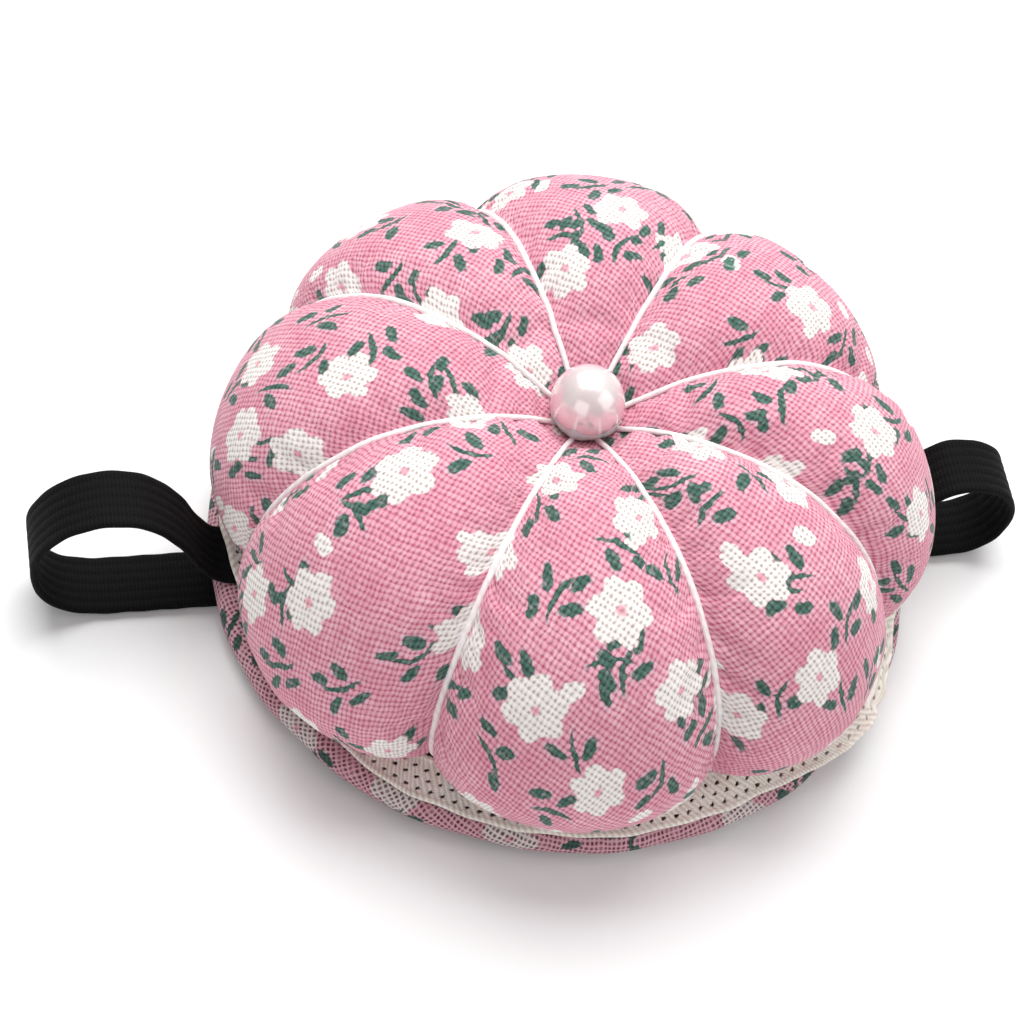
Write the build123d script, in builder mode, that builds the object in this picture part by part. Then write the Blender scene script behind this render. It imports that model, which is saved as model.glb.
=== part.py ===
from build123d import *
from math import cos, hypot, radians, sin, tan
import os

os.makedirs("parts", exist_ok=True)

# A pumpkin-shaped wrist pin cushion. +Z is up and +X runs along the elastic wrist band.
# Z = 0 is the underside of the band, on which the cushion stands. Millimetres and degrees.
BASE_DIAMETER = 80.0
BASE_THICKNESS = 3.4
BASE_EDGE_RADIUS = 1.5
BOARD_CLOTH = 0.45
WRAP_OPENING_DIAMETER = 52.0
BAND_WIDTH = 7.5
BAND_THICKNESS = 0.9
BAND_TAB_INNER_X = 20.0
GAP = 0.15
JOINT_HEIGHT = 1.15
COVER_THICKNESS = 0.6
CORE_RADIUS = 1.5
PEARL_DIAMETER = 8.0
PEARL_HOLE_DIAMETER = 1.6
PEARL_HOLE_DEPTH = 6.0
THREAD_DIAMETER = 0.9
THREAD_STANDOFF = 0.55
TIE_DIAMETER = 1.0
STITCH_DIAMETER = 0.6
STITCH_RING_RADIUS = 7.5
KNOT_RING_RADIUS = 1.35
KNOT_WIDTH = 1.64
KNOT_THICKNESS = 0.9
KNOT_RISE = 0.35
TAPE_INNER_RADIUS = 34.4
TAPE_OUTER_RADIUS = 39.2
TAPE_EDGE_THICKNESS = 0.6
TAPE_GAP_BESIDE_BAND = 0.5
GLUE_INNER_RADIUS = 10.0
GLUE_OUTER_RADIUS = 32.0
CLEARANCE = 0.05

# The eight threads leave the middle at uneven angles, counter-clockwise from +X.
GROOVE_ANGLES = (7.4, 54.4, 101.4, 141.8, 188.9, 237.0, 285.6, 327.7)
LOBE_RADII = (39.6, 39.8, 40.3, 40.0, 42.0, 42.4, 41.7, 40.8)
LOBE_TOPS = (33.7, 33.3, 32.7, 33.2, 33.8, 34.0, 33.8, 33.8)

# Heights, from the table up.
BASE_UNDERSIDE = BAND_THICKNESS + GAP
BASE_TOP = BASE_UNDERSIDE + BASE_THICKNESS
CUSHION_UNDERSIDE = BASE_TOP + JOINT_HEIGHT
DIMPLE_FLOOR = 25.0
PEARL_HEIGHT = 29.6
TAB_HEIGHT = BASE_TOP + JOINT_HEIGHT / 2

# The band's line in the XZ plane, one route for each side, given for a band that leaves
# towards +X. The upper part goes from the glued joint over to the outermost point, and the
# bend comes back from there to the flat run under the base.
RUN_END_X = 39.0
BAND_Z = BAND_THICKNESS / 2
LEFT_TURN = (59.4, 9.0)
RIGHT_TURN = (52.2, 6.8)
LEFT_UPPER = (
    (BAND_TAB_INNER_X, TAB_HEIGHT),
    (38.8, TAB_HEIGHT),
    (41.8, 10.6),
    (46.0, 15.8),
    (51.4, 17.0),
    (56.7, 15.2),
    (59.4, 11.4),
    LEFT_TURN,
)
LEFT_BEND = (LEFT_TURN, (59.4, 6.2), (57.0, 2.2), (52.0, BAND_Z), (RUN_END_X, BAND_Z))
RIGHT_UPPER = (
    (BAND_TAB_INNER_X, TAB_HEIGHT),
    (38.6, TAB_HEIGHT),
    (41.0, 9.4),
    (43.4, 12.9),
    (48.0, 12.9),
    (52.2, 9.6),
    RIGHT_TURN,
)
RIGHT_BEND = (RIGHT_TURN, (52.2, 4.6), (50.2, 1.6), (46.8, BAND_Z), (RUN_END_X, BAND_Z))


def meridian(angle):
    """The upright plane through the cushion's axis that faces along the given angle."""
    x, y = cos(radians(angle)), sin(radians(angle))
    return Plane(origin=(0, 0, 0), x_dir=(x, y, 0), z_dir=(y, -x, 0))


def inset(points, depth):
    """Moves an outline's points inwards, at right angles to the outline at each point."""
    moved = []
    for i, (r, z) in enumerate(points):
        r0, z0 = points[max(i - 1, 0)]
        r1, z1 = points[min(i + 1, len(points) - 1)]
        length = hypot(r1 - r0, z1 - z0)
        moved.append((r - depth * (z1 - z0) / length, z + depth * (r1 - r0) / length))
    moved[0] = (points[0][0] - depth, points[0][1] + depth)
    moved[-1] = (points[-1][0], points[-1][1] - depth)
    return moved


def groove_outline():
    """The cushion's half section under a thread, from its foot to the dimple."""
    return [
        (33.4, CUSHION_UNDERSIDE),
        (36.2, 12.0),
        (35.2, 19.8),
        (25.4, 29.4),
        (13.0, 30.4),
        (4.4, 26.6),
        (CORE_RADIUS, DIMPLE_FLOOR),
    ]


def lobe_outline(radius, top):
    """The cushion's half section through the middle of a lobe."""
    return [
        (35.4, CUSHION_UNDERSIDE),
        (radius - 2.0, 8.4),
        (radius, 15.4),
        (0.5 * radius + 13.5, top - 5.6),
        (19.0, top),
        (10.0, top - 2.9),
        (CORE_RADIUS, DIMPLE_FLOOR),
    ]


def section(plane, points):
    """Adds the closed half section on its plane as a face for the loft."""
    with BuildSketch(plane) as face:
        with BuildLine():
            Spline(*points)
            Line(points[-1], (CORE_RADIUS, points[0][1]))
            Line((CORE_RADIUS, points[0][1]), points[0])
        make_face()
    return face.sketch


def cushion_body(depth):
    """The eight-lobed cushion, its surface moved inwards by the given depth."""
    lobes = []
    for i, start in enumerate(GROOVE_ANGLES):
        end = GROOVE_ANGLES[(i + 1) % 8] + (360 if i == 7 else 0)
        groove = inset(groove_outline(), depth) if depth else groove_outline()
        crown = lobe_outline(LOBE_RADII[i], LOBE_TOPS[i])
        crown = inset(crown, depth) if depth else crown
        faces = [
            section(meridian(start), groove),
            section(meridian((start + end) / 2), crown),
            section(meridian(end), groove),
        ]
        with BuildPart() as lobe:
            loft(sections=faces)
        lobes.append(lobe.part)
    return lobes


def fillet_radii(points):
    """The largest arcs that a bent route's runs leave room for."""
    radii = []
    for a, b, c in zip(points, points[1:], points[2:]):
        first, second = Vector(b) - Vector(a), Vector(c) - Vector(b)
        turn = radians(first.get_angle(second))
        radii.append(0.45 * min(first.length, second.length) / tan(turn / 2))
    return radii


def band_piece(route, side):
    """A length of the flat band: its line in the XZ plane, given its thickness and width."""
    points = [(side * x, z) for x, z in route]
    with BuildPart() as piece:
        with BuildSketch(Plane.XZ):
            with BuildLine():
                FilletPolyline(*points, radius=fillet_radii(points))
            trace(line_width=BAND_THICKNESS)
        extrude(amount=BAND_WIDTH / 2, both=True)
    return piece.part


def write(part, name):
    part.label = name
    export_step(part, f"parts/{name}.step")


# The cushion's printed cover: a closed skin round the filling, open only for the centre tie.
with BuildPart() as cushion_cover:
    add(cushion_body(0))
    add(cushion_body(COVER_THICKNESS), mode=Mode.SUBTRACT)
write(cushion_cover.part, "cushion_cover")

# The filling takes up the whole of the cover's inside.
with BuildPart() as fibre_filling:
    add(cushion_body(COVER_THICKNESS))
write(fibre_filling.part, "fibre_filling")

# Each thread lies in the bottom of its groove, from beside the pearl to the cushion's foot.
# Its route is the groove's outline, lifted clear of the lobes' flanks.
THREAD_LIFT = THREAD_DIAMETER / 2 + THREAD_STANDOFF
THREAD_STATIONS = (0.05, 0.16, 0.27, 0.37, 0.47, 0.57, 0.67, 0.77, 0.86, 0.92)


def thread_route(plane):
    outline = Spline(*groove_outline())
    route = []
    for station in THREAD_STATIONS:
        point, along = outline @ station, outline % station
        lifted = (point.X + THREAD_LIFT * along.Y, point.Y - THREAD_LIFT * along.X, 0)
        route.append(plane.from_local_coords(Vector(*lifted)))
    return route


for i, angle in enumerate(GROOVE_ANGLES):
    route = thread_route(meridian(angle))
    with BuildPart() as thread:
        with BuildLine() as path:
            FilletPolyline(*route, radius=fillet_radii(route))
        with BuildSketch(Plane(origin=path.line @ 0, z_dir=path.line % 0)):
            Circle(THREAD_DIAMETER / 2)
        sweep()
    write(thread.part, f"segment_thread_{i + 1}")

# The tie pulls the dimple down, from the pearl's blind hole to its knot under the cushion.
KNOT_HEIGHT = BASE_TOP + KNOT_RISE
PEARL_HOLE_TOP = PEARL_HEIGHT - PEARL_DIAMETER / 2 + PEARL_HOLE_DEPTH
with BuildPart() as centre_thread:
    with BuildSketch(Plane.XY.offset(KNOT_HEIGHT)):
        Circle(TIE_DIAMETER / 2)
    extrude(amount=PEARL_HOLE_TOP - 4 * CLEARANCE - KNOT_HEIGHT)
write(centre_thread.part, "centre_thread")

with BuildPart() as tie_knot:
    with BuildSketch(Plane.XZ):
        with Locations((KNOT_RING_RADIUS, KNOT_HEIGHT + KNOT_RISE)):
            Ellipse(KNOT_WIDTH / 2, KNOT_THICKNESS / 2)
    revolve(axis=Axis.Z)
write(tie_knot.part, "tie_knot")

with BuildPart() as pearl_bead:
    with Locations((0, 0, PEARL_HEIGHT)):
        Sphere(PEARL_DIAMETER / 2)
    with BuildSketch(Plane.XY.offset(PEARL_HEIGHT - PEARL_DIAMETER / 2)):
        Circle(PEARL_HOLE_DIAMETER / 2)
    extrude(amount=PEARL_HOLE_DEPTH, mode=Mode.SUBTRACT)
write(pearl_bead.part, "pearl_bead")

# The glue fills the space between the dimple's floor and the pearl.
with BuildPart() as pearl_glue:
    with BuildSketch(Plane.XZ):
        with BuildLine():
            Polyline(
                (0.75, 25.15),
                (1.5, 25.4),
                (2.6, 26.2),
                (3.5, 26.9),
                (3.8, 27.6),
                (3.5, 28.6),
                (0.75, 28.6),
                close=True,
            )
        make_face()
        with Locations((0, PEARL_HEIGHT)):
            Circle(PEARL_DIAMETER / 2 + CLEARANCE, mode=Mode.SUBTRACT)
    revolve(axis=Axis.Z)
write(pearl_glue.part, "pearl_glue")

# The running stitch that gathers the cover shut lies round the knot, under the cushion.
with BuildPart() as gather_stitch:
    with BuildSketch(Plane.XZ):
        with Locations((STITCH_RING_RADIUS, CUSHION_UNDERSIDE - STITCH_DIAMETER / 2 - 2 * CLEARANCE)):
            Circle(STITCH_DIAMETER / 2)
    revolve(axis=Axis.Z)
write(gather_stitch.part, "gather_stitch")

# The eyelet tape lies on the base's rim, round the cushion's foot, and the lobes rest on it.
# It is in two lengths, one on each side of the band.
with BuildPart() as lace_trim:
    with BuildSketch(Plane.XZ):
        with BuildLine():
            Polyline(
                (TAPE_INNER_RADIUS, BASE_TOP + CLEARANCE),
                (TAPE_OUTER_RADIUS, BASE_TOP + CLEARANCE),
                (TAPE_OUTER_RADIUS, BASE_TOP + CLEARANCE + TAPE_EDGE_THICKNESS),
                (TAPE_INNER_RADIUS, CUSHION_UNDERSIDE - 2 * CLEARANCE),
                close=True,
            )
        make_face()
    revolve(axis=Axis.Z)
    with BuildSketch(Plane.XY.offset(BASE_TOP)):
        Rectangle(BASE_DIAMETER, BAND_WIDTH + 2 * TAPE_GAP_BESIDE_BAND)
    extrude(amount=JOINT_HEIGHT, mode=Mode.SUBTRACT)
write(lace_trim.part, "lace_trim")

# The base is a stiff disc, wrapped in the print. The wrap closes the underside and the edge,
# and is turned in over the top as far as the opening that the cushion hides.
with BuildPart() as base_board:
    with BuildSketch(Plane.XY.offset(BASE_UNDERSIDE + BOARD_CLOTH)):
        Circle(BASE_DIAMETER / 2 - BOARD_CLOTH)
    extrude(amount=BASE_THICKNESS - 2 * BOARD_CLOTH)
    fillet(base_board.edges().filter_by(GeomType.CIRCLE), BASE_EDGE_RADIUS - BOARD_CLOTH)
write(base_board.part, "base_board")

with BuildPart() as base_cover:
    with BuildSketch(Plane.XY.offset(BASE_UNDERSIDE)):
        Circle(BASE_DIAMETER / 2)
    extrude(amount=BASE_THICKNESS)
    fillet(base_cover.edges().filter_by(GeomType.CIRCLE), BASE_EDGE_RADIUS)
    add(base_board.part, mode=Mode.SUBTRACT)
    with BuildSketch(Plane.XY.offset(BASE_TOP)):
        Circle(WRAP_OPENING_DIAMETER / 2)
    extrude(amount=-BOARD_CLOTH, mode=Mode.SUBTRACT)
write(base_cover.part, "base_cover")

# A ring of glue holds the cushion to the base, and the band's two ends between them.
TAB_LENGTH_IN_GLUE = GLUE_OUTER_RADIUS - BAND_TAB_INNER_X + 2 * CLEARANCE
TAB_MIDDLE = BAND_TAB_INNER_X - CLEARANCE + TAB_LENGTH_IN_GLUE / 2
with BuildPart() as base_glue:
    with BuildSketch(Plane.XY.offset(BASE_TOP + CLEARANCE / 2)):
        Circle(GLUE_OUTER_RADIUS)
        Circle(GLUE_INNER_RADIUS, mode=Mode.SUBTRACT)
        with Locations((TAB_MIDDLE, 0), (-TAB_MIDDLE, 0)):
            Rectangle(TAB_LENGTH_IN_GLUE, BAND_WIDTH + 2 * CLEARANCE, mode=Mode.SUBTRACT)
    extrude(amount=JOINT_HEIGHT - CLEARANCE)
write(base_glue.part, "base_glue")

# The wrist band is one elastic strap. It is divided where it changes from what stays with the
# base to what stretches, and from that to the flat run that moves away from the base.
write(band_piece(LEFT_UPPER, -1), "band_left_loop")
write(band_piece(LEFT_BEND, -1), "band_left_bend")
write(band_piece(RIGHT_UPPER, 1), "band_right_loop")
write(band_piece(RIGHT_BEND, 1), "band_right_bend")

with BuildPart() as band_wrist_run:
    with BuildSketch(Plane.XY):
        Rectangle(2 * RUN_END_X, BAND_WIDTH)
    extrude(amount=BAND_THICKNESS)
write(band_wrist_run.part, "band_wrist_run")
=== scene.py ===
import bmesh
import bpy
import numpy as np
from math import atan2, cos, degrees, hypot, pi, radians, sin, sqrt
from mathutils import Matrix, Vector, noise
from mathutils.bvhtree import BVHTree


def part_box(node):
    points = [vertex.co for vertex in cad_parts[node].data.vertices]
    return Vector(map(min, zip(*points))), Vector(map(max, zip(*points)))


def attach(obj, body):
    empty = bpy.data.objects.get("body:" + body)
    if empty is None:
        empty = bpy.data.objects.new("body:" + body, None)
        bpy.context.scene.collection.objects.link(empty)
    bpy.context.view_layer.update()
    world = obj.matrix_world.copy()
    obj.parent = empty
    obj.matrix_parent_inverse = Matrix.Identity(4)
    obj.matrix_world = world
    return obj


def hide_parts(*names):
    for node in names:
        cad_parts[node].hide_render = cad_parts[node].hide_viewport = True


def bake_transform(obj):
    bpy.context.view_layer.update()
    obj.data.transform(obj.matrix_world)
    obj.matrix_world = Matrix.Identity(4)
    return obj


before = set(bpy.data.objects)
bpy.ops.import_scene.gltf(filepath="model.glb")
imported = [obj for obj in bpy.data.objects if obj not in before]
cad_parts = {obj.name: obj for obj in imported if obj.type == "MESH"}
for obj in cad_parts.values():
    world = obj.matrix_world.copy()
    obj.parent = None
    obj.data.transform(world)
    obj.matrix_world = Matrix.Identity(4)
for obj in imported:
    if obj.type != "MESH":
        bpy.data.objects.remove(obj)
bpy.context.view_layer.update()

MM = 0.001

# ---------------------------------------------------------------------------------------------
# The cushion's shape, in millimetres, about its axis
# ---------------------------------------------------------------------------------------------
# The lobes go round counter-clockwise from the first thread. Angles are in degrees from +X.
GROOVE_ANGLES = (7.4, 54.4, 101.4, 141.8, 188.9, 237.0, 285.6, 327.7)
LOBE_RADII = (38.9, 39.1, 39.6, 39.2, 41.2, 41.6, 40.7, 40.0)
# How much wider each lobe is at its first end and at its last.
LOBE_ENDS = ((0, 0), (0, 0), (0, 0), (0, 0), (-1.4, 0.8), (0, 0), (0.4, -2.4), (-0.4, 0))
LOBE_TOPS = (33.0, 32.6, 32.1, 32.5, 33.2, 33.4, 33.2, 33.2)
LOBES = len(LOBE_RADII)
SWELL_POWER, SWELL_FULLNESS = 2.3, 0.62
PEARL_LOW, PEARL_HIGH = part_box("pearl_bead")
PEARL_RADIUS = (PEARL_HIGH.x - PEARL_LOW.x) / 2 / MM
PEARL_Z = PEARL_HIGH.z / MM - PEARL_RADIUS
FOOT_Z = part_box("cushion_cover")[0].z / MM
BASE_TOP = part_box("base_cover")[1].z / MM
BASE_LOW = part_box("base_cover")[0].z / MM
BASE_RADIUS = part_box("base_cover")[1].x / MM
DIMPLE_Z = 25.0
CLOTH_TURN = radians(39)
DIMPLE_RADIUS, FOOT_RADIUS = 1.2, 31.5
COLUMNS = 28  # of points in a lobe
ROWS = 88
CURVE_STEPS = 24


def smooth_line(points, count):
    """Points spread evenly along a centripetal Catmull-Rom curve through the given ones."""
    p = np.array(points, float)
    p = np.vstack([2 * p[0] - p[1], p, 2 * p[-1] - p[-2]])
    out = []
    for i in range(1, len(p) - 2):
        knots = [0.0]
        for j in range(3):
            knots.append(knots[-1] + sqrt(np.linalg.norm(p[i + j] - p[i + j - 1])))
        t0, t1, t2, t3 = knots
        for t in np.linspace(t1, t2, CURVE_STEPS, endpoint=False):
            a1 = (t1 - t) / (t1 - t0) * p[i - 1] + (t - t0) / (t1 - t0) * p[i]
            a2 = (t2 - t) / (t2 - t1) * p[i] + (t - t1) / (t2 - t1) * p[i + 1]
            a3 = (t3 - t) / (t3 - t2) * p[i + 1] + (t - t2) / (t3 - t2) * p[i + 2]
            b1 = (t2 - t) / (t2 - t0) * a1 + (t - t0) / (t2 - t0) * a2
            b2 = (t3 - t) / (t3 - t1) * a2 + (t - t1) / (t3 - t1) * a3
            out.append((t2 - t) / (t2 - t1) * b1 + (t - t1) / (t2 - t1) * b2)
    out.append(p[-2])
    out = np.array(out)
    run = np.concatenate([[0], np.cumsum(np.linalg.norm(np.diff(out, axis=0), axis=1))])
    even = np.linspace(0, run[-1], count)
    return np.stack([np.interp(even, run, out[:, k]) for k in range(out.shape[1])], axis=1)


def groove_outline():
    """The cushion's half section under a thread, from the dimple to the foot."""
    points = [(DIMPLE_RADIUS, DIMPLE_Z), (4.2, 27.0), (13, 30.2), (25.4, 29.0), (34.6, 19.8)]
    return smooth_line(points + [(35.6, 12), (34.2, 7.6), (FOOT_RADIUS, FOOT_Z + 0.05)], ROWS)


def lobe_outline(radius, top):
    """The cushion's half section through the middle of a lobe."""
    points = [(DIMPLE_RADIUS, DIMPLE_Z), (4.2, 27.2), (10, top - 2.6), (19, top)]
    points += [(0.5 * radius + 13.5, top - 5.4), (radius, 15.6), (radius - 0.9, 10.2)]
    points += [(radius - 3.1, 7.2), (35.5, FOOT_Z + 0.35), (FOOT_RADIUS, FOOT_Z + 0.05)]
    return smooth_line(points, ROWS)


def cushion_points():
    """Rows of points round the cushion, from the dimple to the foot, before it is filled."""
    groove = groove_outline()
    columns, angles = [], []
    for k, start in enumerate(GROOVE_ANGLES):
        end = GROOVE_ANGLES[(k + 1) % LOBES] + (360 if k == LOBES - 1 else 0)
        lobe = lobe_outline(LOBE_RADII[k], LOBE_TOPS[k])
        for j in range(COLUMNS):
            u = j / COLUMNS
            from_middle = abs(2 * u - 1)
            swell = (1 - from_middle ** SWELL_POWER) ** SWELL_FULLNESS
            column = groove + (lobe - groove) * swell
            wider = LOBE_ENDS[k][u > 0.5] * from_middle
            column[:, 0] += wider * swell * (column[:, 0] / LOBE_RADII[k]) ** 6
            columns.append(column)
            angles.append(radians(start + (end - start) * u))
    return np.array(columns), np.array(angles)


def make_mesh(name, verts, faces, uvs=None):
    """A smooth-shaded mesh object. Its UVs, if given, are one for each point."""
    mesh = bpy.data.meshes.new(name)
    mesh.from_pydata([tuple(v) for v in verts], [], faces)
    if uvs is not None:
        layer = mesh.uv_layers.new(name="cloth")
        loops = np.empty(len(mesh.loops), dtype=np.int32)
        mesh.loops.foreach_get("vertex_index", loops)
        layer.data.foreach_set("uv", np.asarray(uvs, float)[loops].ravel())
    mesh.polygons.foreach_set("use_smooth", [True] * len(mesh.polygons))
    mesh.update()
    piece = bpy.data.objects.new(name, mesh)
    bpy.context.scene.collection.objects.link(piece)
    return piece


def apply_modifiers(piece):
    """Makes the modified shape the piece's own mesh."""
    bpy.context.view_layer.update()
    graph = bpy.context.evaluated_depsgraph_get()
    mesh = bpy.data.meshes.new_from_object(piece.evaluated_get(graph))
    piece.modifiers.clear()
    piece.data = mesh


# ---------------------------------------------------------------------------------------------
# Materials
# ---------------------------------------------------------------------------------------------
class Nodes:
    """A material's node tree, with short helpers for building it."""

    def __init__(self, name):
        self.material = bpy.data.materials.new(name)
        self.material.use_nodes = True
        self.tree = self.material.node_tree
        self.tree.nodes.clear()
        self.shader = self.add("ShaderNodeBsdfPrincipled")
        self.output = self.add("ShaderNodeOutputMaterial")
        self.link(self.shader.outputs[0], self.output.inputs[0])

    def add(self, kind, **settings):
        node = self.tree.nodes.new(kind)
        for key, value in settings.items():
            setattr(node, key, value)
        return node

    def link(self, source, target):
        self.tree.links.new(source, target)

    def put(self, socket, value):
        if hasattr(value, "is_output"):
            self.link(value, socket)
        elif isinstance(value, (tuple, list)) and len(value) == 3 and socket.type == "RGBA":
            socket.default_value = (*value, 1)
        else:
            socket.default_value = value

    def math(self, operation, a, b=0.5, c=0.0):
        node = self.add("ShaderNodeMath", operation=operation)
        for socket, value in zip(node.inputs, (a, b, c)):
            self.put(socket, value)
        return node.outputs[0]

    def vector(self, operation, a, b=(0, 0, 0), scale=1.0):
        node = self.add("ShaderNodeVectorMath", operation=operation)
        self.put(node.inputs[0], a)
        self.put(node.inputs[1], b)
        if operation == "SCALE":
            self.put(node.inputs["Scale"], scale)
        return node.outputs["Vector"]

    def mix(self, factor, a, b, blend="MIX"):
        node = self.add("ShaderNodeMix", data_type="RGBA", blend_type=blend)
        self.put(node.inputs[0], factor)
        self.put(node.inputs[6], a)
        self.put(node.inputs[7], b)
        return node.outputs[2]

    def step(self, value, low, high, top=1.0, bottom=0.0):
        """Goes smoothly from bottom to top as value goes from low to high."""
        node = self.add("ShaderNodeMapRange", interpolation_type="SMOOTHSTEP")
        for socket, number in zip(node.inputs, (value, low, high, bottom, top)):
            self.put(socket, number)
        return node.outputs[0]

    def noise(self, vector, scale, detail=2.0, rough=0.5):
        node = self.add("ShaderNodeTexNoise")
        self.put(node.inputs["Vector"], vector)
        self.put(node.inputs["Scale"], scale)
        self.put(node.inputs["Detail"], detail)
        self.put(node.inputs["Roughness"], rough)
        return node

    def bump(self, height, strength, distance):
        node = self.add("ShaderNodeBump")
        self.put(node.inputs["Height"], height)
        self.put(node.inputs["Strength"], strength)
        self.put(node.inputs["Distance"], distance)
        return node.outputs[0]


def split(n, vector):
    """The X and Y of a vector."""
    node = n.add("ShaderNodeSeparateXYZ")
    n.link(vector, node.inputs[0])
    return node.outputs[0], node.outputs[1]


def join(n, x, y, z=0.0):
    """A vector, or a colour, from its parts."""
    node = n.add("ShaderNodeCombineXYZ")
    for socket, value in zip(node.inputs, (x, y, z)):
        n.put(socket, value)
    return node.outputs[0]


def shifted(n, vector, amount, scale, detail=2.0):
    """The place moved about at random by up to half the amount each way."""
    push = n.vector("SUBTRACT", n.noise(vector, scale, detail).outputs["Color"], (0.5, 0.5, 0.5))
    return n.vector("ADD", vector, n.vector("SCALE", push, scale=amount))


def srgb(*colour):
    """A colour as seen on a screen, from 0 to 255, turned into the linear values of a shader."""
    return tuple(((v / 255 + 0.055) / 1.055) ** 2.4 if v > 10 else v / 255 / 12.92 for v in colour)


def fibre_gloss(n, roughness, specular, sheen=0.0):
    """How rough and dull a fibre is, and how much light its fuzz catches."""
    n.put(n.shader.inputs["Roughness"], roughness)
    n.put(n.shader.inputs["Specular IOR Level"], specular)
    if sheen:
        n.put(n.shader.inputs["Sheen Weight"], sheen)


def ellipse(n, x, y, centre, angle, half_length, half_width, bend=0.0):
    """Under 1 inside a leaf, bud or stem of the given size, in millimetres and degrees."""
    ca, sa = cos(radians(angle)), sin(radians(angle))
    dx, dy = n.math("SUBTRACT", x, centre[0]), n.math("SUBTRACT", y, centre[1])
    along = n.math("MULTIPLY_ADD", dx, ca, n.math("MULTIPLY", dy, sa))
    across = n.math("SUBTRACT", n.math("MULTIPLY", dy, ca), n.math("MULTIPLY", dx, sa))
    if bend:
        across = n.math("MULTIPLY_ADD", n.math("MULTIPLY", along, along), bend, across)
    a = n.math("POWER", n.math("ABSOLUTE", n.math("DIVIDE", along, half_length)), 2.6)
    b = n.math("POWER", n.math("ABSOLUTE", n.math("DIVIDE", across, half_width)), 2.0)
    return n.math("ADD", a, b)


def least(n, values):
    """The smallest of several values, which joins their shapes into one."""
    result = values[0]
    for value in values[1:]:
        result = n.math("MINIMUM", result, value)
    return result


def scatter(n, cloth, cell, seed, jitter):
    """Splits the cloth into cells of about the given size, each with its own centre and turn.
    Returns the place from the centre, in millimetres, and two random numbers of the cell."""
    moved = n.vector("ADD", cloth, (seed * 17.3, seed * 9.1, 0))
    voronoi = n.add("ShaderNodeTexVoronoi", voronoi_dimensions="2D", feature="F1")
    n.put(voronoi.inputs["Vector"], moved)
    n.put(voronoi.inputs["Scale"], 1.0 / cell)
    n.put(voronoi.inputs["Randomness"], jitter)
    parts = n.add("ShaderNodeSeparateColor")
    n.link(voronoi.outputs["Color"], parts.inputs[0])
    x, y = split(n, n.vector("SUBTRACT", moved, voronoi.outputs["Position"]))
    turn = n.math("MULTIPLY", parts.outputs[0], 2 * pi)
    ca, sa = n.math("COSINE", turn), n.math("SINE", turn)
    lx = n.math("MULTIPLY_ADD", x, ca, n.math("MULTIPLY", y, sa))
    ly = n.math("SUBTRACT", n.math("MULTIPLY", y, ca), n.math("MULTIPLY", x, sa))
    return lx, ly, parts.outputs[1], parts.outputs[2]


# The printed sprig: a curved stem with leaves beside it. Each has its centre, direction, half
# length, half width and bend, and the share of sprigs that leave it out. Sizes are in
# millimetres of cloth. SPRIG_CELLS has a seed, a spacing and the share of empty cells.
STEM = ((0.0, 0.0), 80, 2.3, 0.31, 0.085, 0.0)
LEAVES = (
    ((-1.7, 1.0), 125, 1.2, 0.60, 0.0, 0.04),
    ((1.8, -0.4), 35, 1.25, 0.64, 0.0, 0.12),
    ((1.6, 2.3), 62, 1.15, 0.58, 0.0, 0.40),
    ((-1.9, -1.9), 100, 1.15, 0.56, 0.0, 0.45),
)
BLOSSOM_CELL, BUD_CELL = 12.7, 9.4
BLOSSOM_SEED, BUD_SEED = 3, 8
BUD_SHARE = 0.38
SPRIG_CELLS = ((5, 8.8, 0.06), (11, 14.5, 0.12))
LEFT_OUT = 99
WARP_PITCH, WEFT_PITCH = 0.53, 0.64
BASE_CLOTH_SHIFT = (0.0, 140.0, 0.0)


def print_masks(n, cloth):
    """Where the print is white blossom, its pink eye, white bud, green leaf and pale fringe."""
    x, y, size, _ = scatter(n, cloth, BLOSSOM_CELL, BLOSSOM_SEED, 0.42)
    radius = n.math("SQRT", n.math("MULTIPLY_ADD", x, x, n.math("MULTIPLY", y, y)))
    angle = n.math("ARCTAN2", y, x)
    notch = n.math("ABSOLUTE", n.math("SINE", n.math("MULTIPLY", angle, 3.0)))
    petals = n.math("SUBTRACT", 1.0, n.math("POWER", notch, 3.2))
    edge = n.math("MULTIPLY_ADD", petals, 0.72, n.math("MULTIPLY_ADD", size, 0.4, 2.35))
    blossom = n.step(n.math("SUBTRACT", radius, edge), 0.14, -0.12)
    eye = n.step(radius, 0.62, 0.3)

    bx, by, bsize, bkeep = scatter(n, cloth, BUD_CELL, BUD_SEED, 0.75)
    bud = n.math("SUBTRACT", ellipse(n, bx, by, (0, 0), 23, 1.35, 0.8), n.math("MULTIPLY", bsize, 0.3))
    bud = n.math("MULTIPLY", n.step(bud, 1.15, 0.85), n.math("GREATER_THAN", bkeep, 1 - BUD_SHARE))

    marks = []
    for seed, cell, gone in SPRIG_CELLS:
        sx, sy, kind, some = scatter(n, cloth, cell, seed, 0.4)
        shapes = []
        for centre, direction, long, wide, bend, missing in (STEM,) + LEAVES:
            shape = ellipse(n, sx, sy, centre, direction, long, wide, bend)
            if missing:
                test = n.math("FRACT", n.math("MULTIPLY_ADD", kind, 3.7, missing * 5))
                shape = n.math("MULTIPLY_ADD", n.math("LESS_THAN", test, missing), LEFT_OUT, shape)
            shapes.append(shape)
        sprig = least(n, shapes)
        marks.append(n.math("MULTIPLY_ADD", n.math("LESS_THAN", some, gone), LEFT_OUT, sprig))
    mark = least(n, marks)
    off_blossom = n.math("MULTIPLY_ADD", blossom, -0.95, 1.0)
    green = n.math("MULTIPLY", n.step(mark, 1.25, 0.75), off_blossom)
    fringe = n.math("MULTIPLY", n.step(mark, 2.6, 1.2), off_blossom)
    return blossom, eye, bud, green, fringe


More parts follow.
